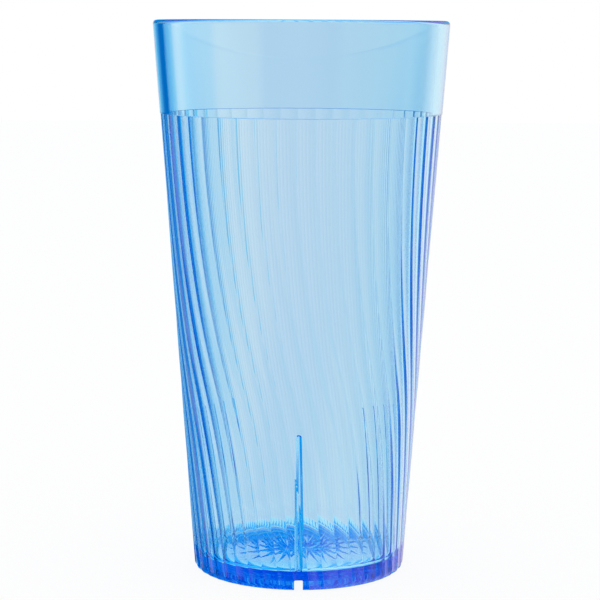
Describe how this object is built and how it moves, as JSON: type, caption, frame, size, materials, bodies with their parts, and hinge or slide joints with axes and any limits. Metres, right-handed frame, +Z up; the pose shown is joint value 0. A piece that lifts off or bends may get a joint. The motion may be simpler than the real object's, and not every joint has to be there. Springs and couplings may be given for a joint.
{
  "type": "plastic tumbler",
  "caption": "Clear plastic tumbler with a smooth band, swirled flutes, inner stacking lugs and a notched foot ring.",
  "frame": {"origin": "middle of the foot, on the table", "axes": "+Z up the cup's own axis towards the rim, -Y towards the front drain notch and stacking lug"},
  "size_m": [0.0874, 0.0874, 0.164],
  "materials": {
    "clear_blue_plastic": "polished clear blue"
  },
  "bodies": {
    "root": {"tumbler": "clear_blue_plastic"}
  },
  "joints": []
}
